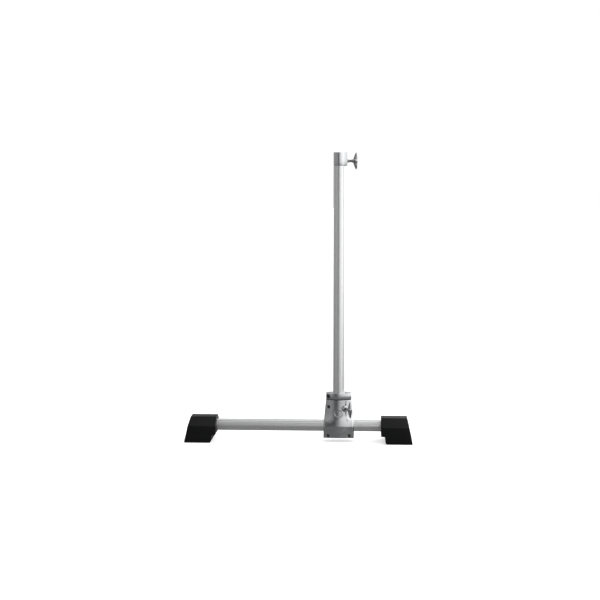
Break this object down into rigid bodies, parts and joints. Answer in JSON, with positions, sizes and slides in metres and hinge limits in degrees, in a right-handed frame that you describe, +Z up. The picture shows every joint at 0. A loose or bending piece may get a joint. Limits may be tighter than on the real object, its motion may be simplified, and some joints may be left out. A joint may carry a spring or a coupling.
{
  "type": "flag pole stand",
  "caption": "Flag pole stand: a round base tube on black end feet, a cast clamp housing and an upright tube whose top collar grips a pole with a wing screw.",
  "frame": {"origin": "on the floor, under the middle of the base tube", "axes": "+X along the base tube towards the nearer end from the mast, -Y to the front, where the lower wing screw is, +Z up"},
  "size_m": [0.778, 0.13, 0.984],
  "materials": {
    "anodised_tube": "drawn and clear anodised aluminium with fine lines along the tube",
    "cast_metal": "die cast, satin polished",
    "knob_metal": "cast wing knob, bright nickel plated",
    "steel": "zinc plated steel foot screws, pins and threaded bushes",
    "black_steel": "black oxide steel cap screws, nuts and wing screw studs",
    "black_plastic": "black moulded nylon with a fine grain",
    "rubber": "black moulded rubber",
    "nylon": "black nylon, smooth"
  },
  "bodies": {
    "base": {"base_tube": "anodised_tube", "left_foot_shell": "black_plastic", "left_foot_sole": "rubber", "left_foot_screw": "steel", "right_foot_shell": "black_plastic", "right_foot_sole": "rubber", "right_foot_screw": "steel", "front_housing_shell": "cast_metal", "rear_housing_shell": "cast_metal", "housing_screw_lower_left": "black_steel", "housing_screw_lower_right": "black_steel", "housing_screw_upper_left": "black_steel", "housing_nut_lower_left": "black_steel", "housing_nut_lower_right": "black_steel", "housing_nut_upper_left": "black_steel", "dowel_pin_1": "steel", "dowel_pin_2": "steel", "mast_liner": "nylon", "lower_insert": "steel"},
    "stop_ring": {"clamp_ring": "cast_metal", "clamp_ring_bolt": "black_steel", "clamp_ring_nut": "black_steel"},
    "mast": {"mast_tube": "anodised_tube", "mast_foot_plug": "nylon", "pole_collar": "cast_metal", "collar_pin": "steel", "top_insert": "steel"},
    "lower_clamp_pad": {"lower_pad": "nylon"},
    "lower_wing_screw": {"lower_stud": "black_steel", "lower_knob": "knob_metal"},
    "top_clamp_pad": {"top_pad": "nylon"},
    "top_wing_screw": {"top_stud": "black_steel", "top_knob": "knob_metal"}
  },
  "joints": [
    {"name": "mast_swivel", "type": "hinge", "parent": "base", "child": "stop_ring", "pos_m": [0.137, 0, 0.1475], "axis": [0, 0, 1], "continuous": true},
    {"name": "mast_lift", "type": "slide", "parent": "stop_ring", "child": "mast", "axis": [0, 0, 1], "range_m": [0, 0.09]},
    {"name": "lower_pad_travel", "type": "slide", "parent": "base", "child": "lower_clamp_pad", "axis": [0.6428, -0.766, 0], "range_m": [0, 0.0038]},
    {"name": "lower_wing_turn", "type": "hinge", "parent": "lower_clamp_pad", "child": "lower_wing_screw", "pos_m": [0.137, 0, 0.116], "axis": [0.6428, -0.766, 0], "range_deg": [0, 1080]},
    {"name": "top_pad_travel", "type": "slide", "parent": "mast", "child": "top_clamp_pad", "axis": [1, 0, 0], "range_m": [-0.0051, 0]},
    {"name": "top_wing_turn", "type": "hinge", "parent": "top_clamp_pad", "child": "top_wing_screw", "pos_m": [0.137, 0, 0.955], "axis": [1, 0, 0], "range_deg": [-1440, 0]}
  ],
  "couplings": [
    {"joint": "lower_pad_travel", "follows": "lower_wing_turn", "m_per_rad": 0.00019894},
    {"joint": "top_pad_travel", "follows": "top_wing_turn", "m_per_rad": 0.00019894}
  ]
}
